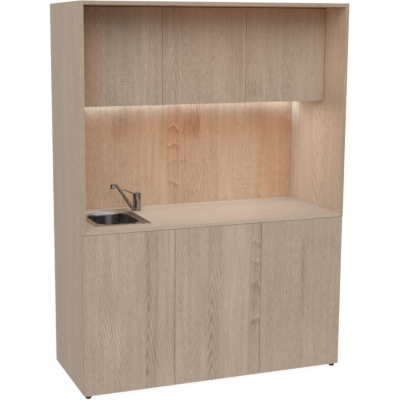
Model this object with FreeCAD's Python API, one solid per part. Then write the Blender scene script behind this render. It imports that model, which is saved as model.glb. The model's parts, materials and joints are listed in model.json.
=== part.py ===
import FreeCAD, Part
import math
import os

from FreeCAD import Rotation, Vector

# Kitchenette unit, in millimetres. X runs from left to right, Y from front to rear and Z up.
# The origin is on the floor, under the middle of the unit.

# Whole unit
unit_width = 1470
unit_depth = 600
unit_height = 2000
board = 19
door_board = 18
rear_sheet = 3
worktop_top = 876
niche_height = 600
upper_setback = 208
overrun = 5
level_share = 1e-5

# Doors
bays = (("left", -1, -1), ("middle", 0, -1), ("right", 1, 1))  # name, place, side of the hinges
door_gap = 3
door_rear_gap = 2
door_side_inset = 2
door_top_gap = 2
door_bottom_rise = 2
door_edge_radius = 0.8

# Service cut-out in the rear board
service_width = 300
service_height = 240

# Shelves and their pins
shelf_setback = 20
shelf_clearance = 1
pin_radius = 2.5
pin_clearance = 0.05
pin_depth = 8
pin_reach = 9
pin_inset = 60

# Cam fittings between the panels
cam_radius = 7.5
cam_height = 12.5
cam_clearance = 0.05
cam_end_distance = 34
cam_edge_distance = 60

# Levelling feet
foot_height = 18
foot_gap = 0.3
foot_inset = 8
foot_rear_inset = 25
foot_radius = 16
foot_base_radius = 12.5
foot_curve = 4
stem_radius = 4
stem_length = 13
stem_clearance = 0.05
socket_radius = 6
socket_length = 15

# Cup hinges, placed from the door's hinge-side edge and its front face
lower_hinge_share = 0.2
upper_hinge_share = 0.45
cup_edge_distance = 5
cup_radius = 17.5
cup_depth = 11.5
cup_wall = 0.8
cup_clearance = 0.05
cup_flange = 1
cup_flange_width = 1.2
cup_ear_reach = 28
cup_ear_width = 12
link_width = 8
link_length = 12
link_gap = 0.3
arm_tip_reach = 31
arm_rise = 12
arm_channel = 8
arm_sheet = 1.5
arm_width = 13
arm_nose = 12
arm_crank = 16
arm_length = 34
plate_distance = 37
plate_block_length = 22
plate_wing = 2
plate_wing_width = 18
plate_wing_reach = 27

# Push latches of the lower doors
latch_drop = 40
latch_width = 14
latch_height = 18
latch_length = 76
latch_edge_radius = 2
plunger_radius = 3.5
plunger_length = 58
plunger_clearance = 0.05
plunger_gap = 0.3
plunger_stroke = 1.5

# Light under the upper cupboard
light_distance = 30
light_width = 17
light_height = 8
light_wall = 1.5
light_lip = 2
diffuser_thickness = 1.2
strip_width = 9
strip_thickness = 1

# Sink, placed from the left side of the unit
sink_side_distance = 246
sink_y = 11.5
rim_width = 304
rim_depth = 434
rim_rise = 2
rim_edge_width = 3
rim_corner_radius = 14
rim_edge_radius = 0.9
sink_sheet = 1
bowl_width = 230
bowl_length = 300
bowl_front_margin = 29
bowl_side_shift = -6
bowl_depth = 140
bowl_corner_radius = 75
bowl_floor_radius = 36
bowl_lip_radius = 4
cutout_margin = 10
cutout_corner_radius = 12
clip_spacing = 200
clip_width = 18
clip_sheet = 2
clip_gap = 3
clip_reach = 14

# Drain and trap
drain_hole_radius = 24
drain_clearance = 0.3
drain_flange_radius = 31
drain_flange = 1.5
drain_bevel = 1
drain_recess_radius = 22
drain_recess_depth = 2
drain_throat_radius = 18
drain_tail = 45
drain_nut_radius = 33
drain_nut_height = 8
strainer_disc = 2
strainer_gap = 0.5
strainer_plug_height = 6
strainer_knob_radius = 5
strainer_knob_height = 9
trap_socket_height = 22
trap_socket_cover = 15
trap_socket_wall = 5
trap_pipe_radius = 20
trap_wall = 3
trap_neck = 26
trap_shoulder = 6
trap_bottle_radius = 32
trap_bottle_height = 92
trap_outlet_drop = 32
trap_outlet_clearance = 12
trap_nut_radius = 26
trap_nut_length = 18

# Mixer, standing on the worktop beside the sink
mixer_side_distance = 436
mixer_y = 153
mixer_heading = 205
mixer_radius = 22.5
mixer_column_radius = 14
mixer_hole_clearance = 1
mixer_ring_height = 4
mixer_gap = 0.3
mixer_running_clearance = 0.05
mixer_shank_length = 30
mixer_nut_radius = 23
mixer_nut_height = 8
collar_height = 20
body_height = 46
spout_radius = 8.5
spout_rise_start = 33
spout_top_start = 150
spout_height = 156
spout_reach = 179
spout_end_rise = 0.5
spout_bend_radius = 24
spout_root = 8
head_radius = 13
head_above = 10
head_below = 11
head_bevel = 2.5
aerator_radius = 11
aerator_height = 3
aerator_bore_radius = 9
aerator_recess = 2
carrier_height = 10
carrier_stem_radius = 8
carrier_stem_length = 12
barrel_radius = 7
barrel_sink = 1
lever_lift = 22
lever_lift_margin = 2
cap_height = 18
cap_top_radius = 5
lever_root_reach = 10
lever_root_height = 11
lever_root_width = 14
lever_root_thickness = 7
lever_tip_reach = 99
lever_tip_height = 47
lever_tip_width = 10
lever_tip_thickness = 5
lever_edge_bevel = 1.2

# Planes that the pieces share
left = Vector(-1, 0, 0)
across = Vector(1, 0, 0)
rearward = Vector(0, 1, 0)
upward = Vector(0, 0, 1)
half_width = unit_width / 2
inner_half = half_width - board
front = -unit_depth / 2
rear = unit_depth / 2
rear_inner = rear - rear_sheet
inner_top = unit_height - board
floor_top = foot_height + board
worktop_under = worktop_top - board
niche_top = worktop_top + niche_height
upper_floor_top = niche_top + board
lower_front = front + door_board + door_rear_gap
upper_face = front + upper_setback
upper_front = upper_face + door_board + door_rear_gap
door_count = len(bays)
lower_door_width = (unit_width - 2 * door_side_inset - (door_count - 1) * door_gap) / door_count
upper_door_width = (2 * inner_half - (door_count + 1) * door_gap) / door_count
lower_pitch = lower_door_width + door_gap
upper_pitch = upper_door_width + door_gap
lower_door_bottom = foot_height + door_bottom_rise
lower_door_top = worktop_under - door_top_gap
upper_door_top = inner_top - door_gap
sink_x = sink_side_distance - half_width
mixer_x = mixer_side_distance - half_width


def block(x0, x1, y0, y1, z0, z1):
    return Part.makeBox(x1 - x0, y1 - y0, z1 - z0, Vector(x0, y0, z0))


def rod(radius, start, end):
    return Part.makeCylinder(radius, (end - start).Length, start, end - start)


def prism(points, path):
    return Part.Face(Part.makePolygon(points + points[:1])).extrude(path)


def turned(outline, centre):
    # Revolves an outline of (radius, height) points about a vertical axis through centre.
    points = [Vector(radius, 0, height) for radius, height in outline]
    solid = Part.Face(Part.makePolygon(points + points[:1])).revolve(Vector(), upward)
    return solid.translated(centre)


def rounded_outline(x0, x1, y0, y1, radius, z):
    centres = ((x1 - radius, y0 + radius), (x1 - radius, y1 - radius),
               (x0 + radius, y1 - radius), (x0 + radius, y0 + radius))
    arcs = []
    for quarter, (x, y) in enumerate(centres):
        circle = Part.Circle(Vector(x, y, z), upward, radius)
        start = (quarter - 1) * math.pi / 2
        arcs.append(Part.Arc(circle, start, start + math.pi / 2).toShape())
    edges = []
    for arc, following in zip(arcs, arcs[1:] + arcs[:1]):
        arc_end = arc.valueAt(arc.LastParameter)
        edges += [arc, Part.makeLine(arc_end, following.valueAt(following.FirstParameter))]
    return Part.Wire(edges)


def rounded_block(x0, x1, y0, y1, z0, z1, radius):
    return Part.Face(rounded_outline(x0, x1, y0, y1, radius, z0)).extrude(upward * (z1 - z0))


def level_edges(shape, height):
    # The edges that lie wholly at one height.
    tolerance = board * level_share
    box_of = [edge.BoundBox for edge in shape.Edges]
    return [edge for edge, box in zip(shape.Edges, box_of)
            if abs(box.ZMin - height) < tolerance and abs(box.ZMax - height) < tolerance]


def export(name, solids):
    if not isinstance(solids, list):
        solids = [solids]
    shape = solids[0] if len(solids) == 1 else Part.makeCompound(solids)
    shape.exportStep("parts/%s.step" % name)


# Shelves rest on pins, and the pins need holes in the panels beside them
shelf_pins = []
pin_holes = []


def add_pins(wall_x, inward, y, shelf_bottom):
    axis = Vector(wall_x, y, shelf_bottom - pin_radius)
    inside = axis - inward * pin_depth
    shelf_pins.append(rod(pin_radius, inside, axis + inward * pin_reach))
    hole_end = inside - inward * pin_clearance
    pin_holes.append(rod(pin_radius + pin_clearance, hole_end, axis + inward * overrun))


def shelf(x0, x1, front_y, bottom):
    y0 = front_y + shelf_setback
    y1 = rear_inner - shelf_clearance
    for y in (y0 + pin_inset, y1 - pin_inset):
        add_pins(x0, across, y, bottom)
        add_pins(x1, left, y, bottom)
    return block(x0 + shelf_clearance, x1 - shelf_clearance, y0, y1, bottom, bottom + board)


def bay_walls(pitch, place):
    # The faces that bound a bay, from left to right.
    x0 = -inner_half if place < 0 else (place - 1 / 2) * pitch + board / 2
    x1 = inner_half if place > 0 else (place + 1 / 2) * pitch - board / 2
    return x0, x1


def make_shelves():
    # Each shelf halves the height of its bay; the bay under the sink has none.
    lower_shelf_bottom = (floor_top + worktop_under - board) / 2
    upper_shelf_bottom = (upper_floor_top + inner_top - board) / 2
    for name, place, side in bays:
        x0, x1 = bay_walls(lower_pitch, place)
        if name != "left":
            export("lower_shelf_" + name, shelf(x0, x1, lower_front, lower_shelf_bottom))
        x0, x1 = bay_walls(upper_pitch, place)
        export("upper_shelf_" + name, shelf(x0, x1, upper_front, upper_shelf_bottom))
    export("shelf_pins", shelf_pins)


# Cam fittings sit in pockets of the level panels, near their ends
def cam_fittings(front_y, face_z, inward):
    cams = []
    for x in (-inner_half + cam_end_distance, inner_half - cam_end_distance):
        for y in (front_y + cam_edge_distance, rear_inner - cam_edge_distance):
            face = Vector(x, y, face_z)
            cams.append(rod(cam_radius, face, face + inward * cam_height))
    return cams


def cam_pockets(front_y, face_z, inward):
    pockets = []
    for x in (-inner_half + cam_end_distance, inner_half - cam_end_distance):
        for y in (front_y + cam_edge_distance, rear_inner - cam_edge_distance):
            face = Vector(x, y, face_z)
            pockets.append(rod(cam_radius + cam_clearance, face - inward * overrun,
                               face + inward * cam_height))
    return pockets


# Case panels
def side_panel(x0):
    points = [Vector(x0, y, z) for y, z in (
        (rear, foot_height), (rear, unit_height), (front, unit_height),
        (front, worktop_under), (lower_front, worktop_under), (lower_front, foot_height))]
    return prism(points, across * board).cut(pin_holes)


def partition(centre_x, front_y, z0, z1):
    x0 = centre_x - board / 2
    return block(x0, x0 + board, front_y, rear_inner, z0, z1).cut(pin_holes)


def level_panel(front_y, z0):
    return block(-inner_half, inner_half, front_y, rear_inner, z0, z0 + board)


def make_panels():
    down = -upward
    export("side_panel_left", side_panel(-half_width))
    export("side_panel_right", side_panel(inner_half))

    bottom = level_panel(lower_front, foot_height)
    bottom = bottom.cut(cam_pockets(lower_front, foot_height, upward) + socket_pockets())
    export("bottom_panel", bottom)
    top = level_panel(front, inner_top)
    export("top_panel", top.cut(cam_pockets(front, unit_height, down)))
    upper_bottom = level_panel(upper_front, niche_top)
    export("upper_bottom_panel", upper_bottom.cut(cam_pockets(upper_front, upper_floor_top, down)))
    worktop = level_panel(front, worktop_under)
    mixer_hole = rod(mixer_column_radius + mixer_hole_clearance,
                     Vector(mixer_x, mixer_y, worktop_under - overrun),
                     Vector(mixer_x, mixer_y, worktop_top + overrun))
    worktop = worktop.cut(cam_pockets(front, worktop_under, upward) + [sink_cutout(), mixer_hole])
    export("worktop", worktop)
    export("cam_fittings", cam_fittings(lower_front, foot_height, upward)
           + cam_fittings(front, unit_height, down)
           + cam_fittings(upper_front, upper_floor_top, down)
           + cam_fittings(front, worktop_under, upward))

    export("niche_back_panel", block(-inner_half, inner_half, rear_inner - board, rear_inner,
                                     worktop_top, niche_top))
    for name, side in (("left", -1), ("right", 1)):
        export("lower_partition_" + name,
               partition(side * lower_pitch / 2, lower_front, floor_top, worktop_under))
        export("upper_partition_" + name,
               partition(side * upper_pitch / 2, upper_front, upper_floor_top, inner_top))

    service_z = trap_outlet_height()
    service = block(sink_x - service_width / 2, sink_x + service_width / 2,
                    rear_inner - overrun, rear + overrun,
                    service_z - service_height / 2, service_z + service_height / 2)
    sheet = block(-inner_half, inner_half, rear_inner, rear, foot_height, unit_height)
    export("rear_board", sheet.cut(service))


# Levelling feet screw into sockets in the bottom panel
def foot_places():
    x = inner_half - foot_inset
    y0 = lower_front + foot_inset
    y1 = rear_inner - foot_rear_inset
    return (("front_left", Vector(-x, y0, 0)), ("front_right", Vector(x, y0, 0)),
            ("rear_left", Vector(-x, y1, 0)), ("rear_right", Vector(x, y1, 0)))


def socket_pockets():
    pockets = []
    for name, place in foot_places():
        base = place + upward * foot_height
        pockets.append(rod(socket_radius, base - upward * overrun, base + upward * socket_length))
    return pockets


def foot(place):
    body_top = foot_height - foot_gap
    outline = [(0, 0), (foot_base_radius, 0), (foot_radius, foot_curve), (foot_radius, body_top),
               (stem_radius, body_top), (stem_radius, foot_height + stem_length),
               (0, foot_height + stem_length)]
    return turned(outline, place)


def socket(place):
    bore = stem_radius + stem_clearance
    bore_depth = stem_length + foot_gap
    outline = [(bore, 0), (socket_radius, 0), (socket_radius, socket_length), (0, socket_length),
               (0, bore_depth), (bore, bore_depth)]
    return turned(outline, place + upward * foot_height)


def make_feet():
    for name, place in foot_places():
        export("foot_" + name, foot(place))
    export("foot_sockets", [socket(place) for name, place in foot_places()])


# Hinges are made for a left-hand door, from its hinge-side edge, its front face and the hinge's height
def placed(shape, side, edge_x, face_y, z):
    if side > 0:
        shape = shape.mirror(Vector(), across)
    return shape.translated(Vector(edge_x, face_y, z))


def cup_pocket():
    centre = Vector(cup_edge_distance + cup_radius, 0, 0)
    return rod(cup_radius + cup_clearance, centre + rearward * (door_board - cup_depth),
               centre + rearward * (door_board + overrun))


def hinge_cup():
    centre = Vector(cup_edge_distance + cup_radius, 0, 0)
    floor = centre + rearward * (door_board - cup_depth)
    seat = centre + rearward * door_board
    flange_top = seat + rearward * cup_flange
    cup = rod(cup_radius, floor, seat)
    flange = rod(cup_radius + cup_flange_width, seat, flange_top)
    ear = block(centre.x - cup_ear_width / 2, centre.x + cup_ear_width / 2,
                door_board, door_board + cup_flange, -cup_ear_reach, cup_ear_reach)
    hollow = rod(cup_radius - cup_wall, floor + rearward * cup_wall, flange_top + rearward * overrun)
    return cup.fuse([flange, ear]).cut(hollow).removeSplitter()


def folded_links():
    # The hinge's links lie folded between the floor of the cup and the tip of the arm.
    x0 = cup_edge_distance + cup_radius - link_length / 2
    x1 = arm_tip_reach
    floor = door_board - cup_depth + cup_wall
    top = door_board + door_rear_gap - link_gap
    middle = (floor + top) / 2
    outline = ((x0, floor), (x0 + link_length, floor), (x1, middle),
               (x1, top), (x1 - link_length, top), (x0, middle))
    points = [Vector(x, y, -link_width / 2) for x, y in outline]
    return prism(points, upward * link_width)


def hinge_arm(mount):
    # mount is how far the face that carries the hinge lies inward of the door's edge.
    tip_y = door_board + door_rear_gap
    crank_y = tip_y + arm_nose
    seat_y = crank_y + arm_crank
    end_y = seat_y + arm_length
    line = ((arm_tip_reach, tip_y), (arm_tip_reach, crank_y),
            (mount + arm_rise, seat_y), (mount + arm_rise, end_y))

    def channel(top, bottom, width):
        upper = [Vector(x - top, y, -width / 2) for x, y in line]
        lower = [Vector(x - bottom, y, -width / 2) for x, y in reversed(line)]
        return prism(upper + lower, upward * width)

    arm = channel(0, arm_channel, arm_width)
    return arm.cut(channel(arm_sheet, arm_channel + overrun, arm_width - 2 * arm_sheet))


def mounting_plate(mount):
    middle_y = door_board + door_rear_gap + plate_distance
    width = arm_width - 2 * arm_sheet
    body = block(mount, mount + arm_rise - arm_sheet,
                 middle_y - plate_block_length / 2, middle_y + plate_block_length / 2, -width / 2, width / 2)
    wings = block(mount, mount + plate_wing,
                  middle_y - plate_wing_width / 2, middle_y + plate_wing_width / 2,
                  -plate_wing_reach, plate_wing_reach)
    return body.fuse(wings).removeSplitter()


def door(x0, x1, y0, z0, z1):
    panel = block(x0, x1, y0, y0 + door_board, z0, z1)
    return panel.makeFillet(door_edge_radius, panel.Faces[2].Edges)


def hinge_heights(bottom, top, share):
    # Each hinge lies at this share of the space between a panel and the shelf at mid-height.
    reach = (top - bottom - board) / 2 * share
    return bottom + reach, top - reach


def make_doors():
    arms = []
    plates = []
    lower_heights = hinge_heights(floor_top, worktop_under, lower_hinge_share)
    upper_heights = hinge_heights(upper_floor_top, inner_top, upper_hinge_share)
    levels = (("lower", lower_pitch, lower_door_width, front,
               lower_door_bottom, lower_door_top, lower_heights),
              ("upper", upper_pitch, upper_door_width, upper_face,
               niche_top, upper_door_top, upper_heights))
    for level, pitch, width, face_y, bottom, top, heights in levels:
        for name, place, side in bays:
            edge_x = place * pitch + side * width / 2
            walls = bay_walls(pitch, place)
            mount = (walls[0] - edge_x) if side < 0 else (edge_x - walls[1])

            def at_hinges(shape):
                return [placed(shape, side, edge_x, face_y, z) for z in heights]

            left_x = edge_x - (1 + side) / 2 * width
            panel = door(left_x, left_x + width, face_y, bottom, top)
            export("%s_door_%s" % (level, name), panel.cut(at_hinges(cup_pocket())))
            export("hinge_cups_%s_%s" % (level, name), at_hinges(hinge_cup()) + at_hinges(folded_links()))
            arms += at_hinges(hinge_arm(mount))
            plates += at_hinges(mounting_plate(mount))
    export("hinge_arms", arms)
    export("hinge_plates", plates)


# Push latches hang on the partitions, at the free edge of each lower door
def make_latches():
    z = worktop_under - latch_drop
    housings = []
    for name, place, side in bays:
        walls = bay_walls(lower_pitch, place)
        inward = left if side < 0 else across
        wall_x = walls[1] if side < 0 else walls[0]
        other_x = wall_x + inward.x * latch_width
        axis = Vector(wall_x + inward.x * latch_width / 2, lower_front, z)
        housing = block(min(wall_x, other_x), max(wall_x, other_x), lower_front, lower_front + latch_length,
                        z - latch_height / 2, z + latch_height / 2)
        outer = [edge for edge in housing.Edges
                 if abs(edge.BoundBox.XMin - other_x) < latch_edge_radius
                 and abs(edge.BoundBox.XMax - other_x) < latch_edge_radius]
        housing = housing.makeFillet(latch_edge_radius, outer)
        bore_end = axis + rearward * (plunger_length + plunger_stroke + plunger_gap)
        housing = housing.cut(rod(plunger_radius + plunger_clearance, axis - rearward * overrun, bore_end))
        housings.append(housing)

        tip = axis - rearward * (door_rear_gap - plunger_gap)
        export("latch_plunger_" + name, rod(plunger_radius, tip, axis + rearward * plunger_length))
    export("latch_housings", housings)


# Light strip in a downward channel under the upper cupboard
def make_light():
    y = rear_inner - board - light_distance
    bottom = niche_top - light_height

    def length_of(width, z0, z1):
        return block(-inner_half, inner_half, y - width / 2, y + width / 2, z0, z1)

    channel = light_width - 2 * light_wall
    mouth = channel - 2 * light_lip
    profile = length_of(light_width, bottom, niche_top)
    profile = profile.cut(length_of(channel, bottom + light_wall, niche_top - light_wall))
    profile = profile.cut(length_of(mouth, bottom - overrun, bottom + overrun))
    export("light_profile", profile)
    shelf_z = bottom + light_wall
    export("light_diffuser", length_of(channel, shelf_z, shelf_z + diffuser_thickness))
    ceiling = niche_top - light_wall
    export("light_strip", length_of(strip_width, ceiling - strip_thickness, ceiling))


# Sink
rim_top = worktop_top + rim_rise
bowl_floor = rim_top - bowl_depth


def rim_box(margin):
    return (sink_x - rim_width / 2 + margin, sink_x + rim_width / 2 - margin,
            sink_y - rim_depth / 2 + margin, sink_y + rim_depth / 2 - margin)


def bowl_box(inset):
    x0 = sink_x + bowl_side_shift - bowl_width / 2
    y0 = sink_y - rim_depth / 2 + bowl_front_margin
    return (x0 + inset, x0 + bowl_width - inset, y0 + inset, y0 + bowl_length - inset)


def drain_centre(z):
    x0, x1, y0, y1 = bowl_box(0)
    return Vector((x0 + x1) / 2, (y0 + y1) / 2, z)


def sink_cutout():
    return rounded_block(*rim_box(cutout_margin), worktop_under - overrun, worktop_top + overrun,
                         cutout_corner_radius)


def bowl_form(growth, top, bottom):
    # A rounded box with a round floor edge; growth widens it on every side.
    form = rounded_block(*bowl_box(-growth), bottom, top, bowl_corner_radius + growth)
    return form.makeFillet(bowl_floor_radius + growth, level_edges(form, bottom))


def make_sink():
    deck_under = rim_top - sink_sheet
    deck = rounded_block(*rim_box(0), deck_under, rim_top, rim_corner_radius)
    edge = rounded_block(*rim_box(0), worktop_top, deck_under, rim_corner_radius)
    edge = edge.cut(rounded_block(*rim_box(rim_edge_width), worktop_top - overrun, rim_top,
                                  rim_corner_radius - rim_edge_width))
    outer = bowl_form(sink_sheet, deck_under, bowl_floor - sink_sheet)
    inner = bowl_form(0, rim_top, bowl_floor)
    sink = deck.fuse([edge, outer]).removeSplitter()
    under_lip = [edge for edge in level_edges(sink, deck_under)
                 if edge.BoundBox.DiagonalLength < bowl_length and near_bowl(edge)]
    sink = sink.makeFillet(bowl_lip_radius, under_lip)
    sink = sink.cut(inner)
    lip = [edge for edge in level_edges(sink, rim_top) if near_bowl(edge)]
    sink = sink.makeFillet(bowl_lip_radius + sink_sheet, lip)
    outer_rim = [edge for edge in level_edges(sink, rim_top) if on_rim(edge)]
    sink = sink.makeFillet(rim_edge_radius, outer_rim)
    hole = drain_centre(bowl_floor)
    sink = sink.cut(rod(drain_hole_radius, hole - upward * overrun, hole + upward * overrun))
    export("sink_basin", sink)


def near_bowl(edge):
    x0, x1, y0, y1 = bowl_box(-2 * sink_sheet)
    box = edge.BoundBox
    return box.XMin > x0 and box.XMax < x1 and box.YMin > y0 and box.YMax < y1


def on_rim(edge):
    x0, x1, y0, y1 = rim_box(rim_corner_radius)
    box = edge.BoundBox
    return box.XMax <= x0 or box.XMin >= x1 or box.YMax <= y0 or box.YMin >= y1


def make_clips():
    x0, x1, y0, y1 = rim_box(cutout_margin)
    clips = []
    for edge_y, outward in ((y0, -1), (y1, 1)):
        for x in (sink_x - clip_spacing / 2, sink_x + clip_spacing / 2):
            leg_y = edge_y - outward * clip_gap
            leg_end = leg_y - outward * clip_sheet
            foot_end = edge_y + outward * clip_reach
            leg = block(x - clip_width / 2, x + clip_width / 2, min(leg_y, leg_end), max(leg_y, leg_end),
                        worktop_under - clip_sheet, rim_top - sink_sheet)
            reach = block(x - clip_width / 2, x + clip_width / 2, min(leg_end, foot_end),
                          max(leg_end, foot_end), worktop_under - clip_sheet, worktop_under)
            clips.append(leg.fuse(reach).removeSplitter())
    export("sink_clips", clips)


# Drain, strainer and trap hang under the middle of the bowl
def trap_outlet_height():
    return bowl_floor - trap_top_drop() - trap_neck - trap_shoulder - trap_outlet_drop


def trap_top_drop():
    # How far under the bowl's floor the trap's socket ends.
    return drain_tail - trap_socket_cover + trap_socket_height


def make_drain():
    centre = drain_centre(bowl_floor)
    tail_radius = drain_hole_radius - drain_clearance
    fitting = turned([(tail_radius, 0), (drain_flange_radius, 0),
                      (drain_flange_radius - drain_bevel, drain_flange),
                      (drain_recess_radius, drain_flange), (drain_recess_radius, -drain_recess_depth),
                      (drain_throat_radius, -drain_recess_depth), (drain_throat_radius, -drain_tail),
                      (tail_radius, -drain_tail)], centre)
    export("drain_fitting", fitting)

    nut_top = -sink_sheet
    nut_bottom = nut_top - drain_nut_height
    bore = tail_radius + stem_clearance
    nut = turned([(bore, nut_top), (drain_nut_radius, nut_top), (drain_nut_radius, nut_bottom),
                  (bore, nut_bottom)], centre)
    export("drain_nut", nut)

    seat = -drain_recess_depth
    disc_radius = drain_recess_radius - strainer_gap
    plug_radius = drain_throat_radius - strainer_gap
    strainer = turned([(0, seat - strainer_plug_height), (plug_radius, seat - strainer_plug_height),
                       (plug_radius, seat), (disc_radius, seat), (disc_radius, seat + strainer_disc),
                       (strainer_knob_radius, seat + strainer_disc),
                       (strainer_knob_radius, seat + strainer_disc + strainer_knob_height),
                       (0, seat + strainer_disc + strainer_knob_height)], centre)
    export("drain_strainer", strainer)

    socket_top = -(drain_tail - trap_socket_cover)
    socket_end = -trap_top_drop()
    bottle_top = socket_end - trap_neck - trap_shoulder
    bottle_end = bottle_top - trap_bottle_height
    pipe_bore = trap_pipe_radius - trap_wall
    bottle_bore = trap_bottle_radius - trap_wall
    body = turned([(bore, socket_top), (bore + trap_socket_wall, socket_top),
                   (bore + trap_socket_wall, socket_end), (trap_pipe_radius, socket_end),
                   (trap_pipe_radius, socket_end - trap_neck), (trap_bottle_radius, bottle_top),
                   (trap_bottle_radius, bottle_end), (0, bottle_end), (0, bottle_end + trap_wall),
                   (bottle_bore, bottle_end + trap_wall), (bottle_bore, bottle_top - trap_wall),
                   (pipe_bore, socket_end - trap_neck), (pipe_bore, -drain_tail),
                   (bore, -drain_tail)], centre)
    start = centre + upward * (bottle_top - trap_outlet_drop)
    end = Vector(start.x, rear_inner - trap_outlet_clearance, start.z)
    nut_end = start + rearward * (trap_bottle_radius + trap_nut_length)
    body = body.fuse([rod(trap_pipe_radius, start, end), rod(trap_nut_radius, start, nut_end)])
    body = body.cut([rod(pipe_bore, start, end + rearward * overrun),
                     rod(bottle_bore, centre + upward * (bottle_end + trap_wall),
                         centre + upward * (bottle_top - trap_wall))])
    export("drain_trap", body.removeSplitter())


# Mixer; its pieces are made with the spout along X and then turned to its heading
def mixer_placed(shape):
    shape = shape.copy()
    shape.Placement = FreeCAD.Placement(Vector(mixer_x, mixer_y, worktop_top),
                                        Rotation(upward, mixer_heading)).multiply(shape.Placement)
    return shape


def bent_path(points, radius):
    # Straight runs in the XZ plane, joined by tangent arcs.
    edges = []
    start = points[0]
    for before, corner, after in zip(points, points[1:], points[2:]):
        toward = (before - corner).normalize()
        onward = (after - corner).normalize()
        half_turn = (math.pi - toward.getAngle(onward)) / 2
        tangent = radius * math.tan(half_turn)
        bisector = (toward + onward).normalize()
        mid = corner + bisector * (radius / math.cos(half_turn) - radius)
        arc_start = corner + toward * tangent
        arc_end = corner + onward * tangent
        edges.append(Part.makeLine(start, arc_start))
        edges.append(Part.Arc(arc_start, mid, arc_end).toShape())
        start = arc_end
    edges.append(Part.makeLine(start, points[-1]))
    return Part.Wire(edges)


collar_bottom = mixer_ring_height + mixer_gap
collar_top = collar_bottom + collar_height
body_bottom = collar_top + mixer_gap
body_top = body_bottom + body_height
carrier_bottom = body_top + mixer_gap
carrier_top = carrier_bottom + carrier_height
barrel_height = carrier_top - barrel_sink


def make_mixer_body():
    bore = mixer_column_radius + mixer_running_clearance
    ring = turned([(bore, 0), (mixer_radius, 0),
                   (mixer_radius, mixer_ring_height), (bore, mixer_ring_height)], Vector())
    export("mixer_base_ring", mixer_placed(ring))

    shank_end = -board - mixer_shank_length
    stem_bore = carrier_stem_radius + mixer_running_clearance
    stem_floor = body_top - carrier_stem_length - mixer_gap
    body = turned([(0, shank_end), (mixer_column_radius, shank_end), (mixer_column_radius, body_bottom),
                   (mixer_radius, body_bottom), (mixer_radius, body_top), (stem_bore, body_top),
                   (stem_bore, stem_floor), (0, stem_floor)], Vector())
    export("mixer_body", mixer_placed(body))

    nut = Part.makePolygon([Vector(mixer_nut_radius * math.cos(turn * math.pi / 3),
                                   mixer_nut_radius * math.sin(turn * math.pi / 3),
                                   -board - mixer_nut_height) for turn in range(7)])
    nut = Part.Face(nut).extrude(upward * mixer_nut_height)
    nut = nut.cut(rod(bore, Vector(0, 0, -board - mixer_nut_height - overrun), Vector(0, 0, overrun)))
    export("mixer_fixing_nut", mixer_placed(nut))


def make_spout():
    middle = collar_bottom + collar_height / 2
    collar = rod(mixer_radius, upward * collar_bottom, upward * collar_top)
    path = bent_path([Vector(spout_root, 0, middle), Vector(spout_rise_start, 0, middle),
                      Vector(spout_top_start, 0, spout_height),
                      Vector(spout_reach, 0, spout_height + spout_end_rise)], spout_bend_radius)
    section = Part.Wire(Part.makeCircle(spout_radius, Vector(spout_root, 0, middle), across))
    tube = path.makePipeShell([section], True, False)
    head_bottom = spout_height - head_below
    head_top = spout_height + head_above
    head = rod(head_radius, Vector(spout_reach, 0, head_bottom), Vector(spout_reach, 0, head_top))
    head = head.makeChamfer(head_bevel, level_edges(head, head_top))
    spout = collar.fuse([tube, head])
    bore = mixer_column_radius + mixer_running_clearance
    spout = spout.cut(rod(bore, Vector(), upward * (collar_top + overrun)))
    export("mixer_spout", mixer_placed(spout.removeSplitter()))

    recess = aerator_recess - aerator_height
    aerator = turned([(0, recess), (aerator_bore_radius, recess), (aerator_bore_radius, -aerator_height),
                      (aerator_radius, -aerator_height), (aerator_radius, 0), (0, 0)],
                     Vector(spout_reach, 0, head_bottom))
    export("mixer_aerator", mixer_placed(aerator))


def make_lever():
    trough_radius = barrel_radius + mixer_gap
    axis_start = Vector(0, -mixer_radius - overrun, barrel_height)
    axis_end = Vector(0, mixer_radius + overrun, barrel_height)
    carrier = rod(mixer_radius, upward * carrier_bottom, upward * carrier_top)
    stem = rod(carrier_stem_radius, upward * (body_top - carrier_stem_length), upward * carrier_top)
    carrier = carrier.fuse(stem).cut(rod(trough_radius, axis_start, axis_end))
    export("mixer_carrier", mixer_placed(carrier.removeSplitter()))

    cap_bottom = carrier_top + mixer_gap
    cap_top = cap_bottom + cap_height
    cap = rod(mixer_radius, upward * cap_bottom, upward * cap_top)
    cap = cap.makeFillet(cap_top_radius, level_edges(cap, cap_top))
    # The rear of the cap is cut back at a slope, so that it comes down as the lever lifts.
    slope = math.tan(math.radians(lever_lift + lever_lift_margin))
    rear_x = -mixer_radius - overrun
    wedge = prism([Vector(0, axis_start.y, cap_bottom), Vector(rear_x, axis_start.y, cap_bottom),
                   Vector(rear_x, axis_start.y, cap_bottom - rear_x * slope)], axis_end - axis_start)
    cap = cap.cut(wedge)
    barrel = rod(barrel_radius, axis_start, axis_end)
    barrel = barrel.common(rod(mixer_radius, Vector(), upward * cap_top))
    root = Vector(lever_root_reach, 0, carrier_top + lever_root_height)
    tip = Vector(lever_tip_reach, 0, carrier_top + lever_tip_height)
    lever = lever_bar(root, tip)
    export("mixer_lever", mixer_placed(cap.fuse([barrel, lever]).removeSplitter()))


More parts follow.
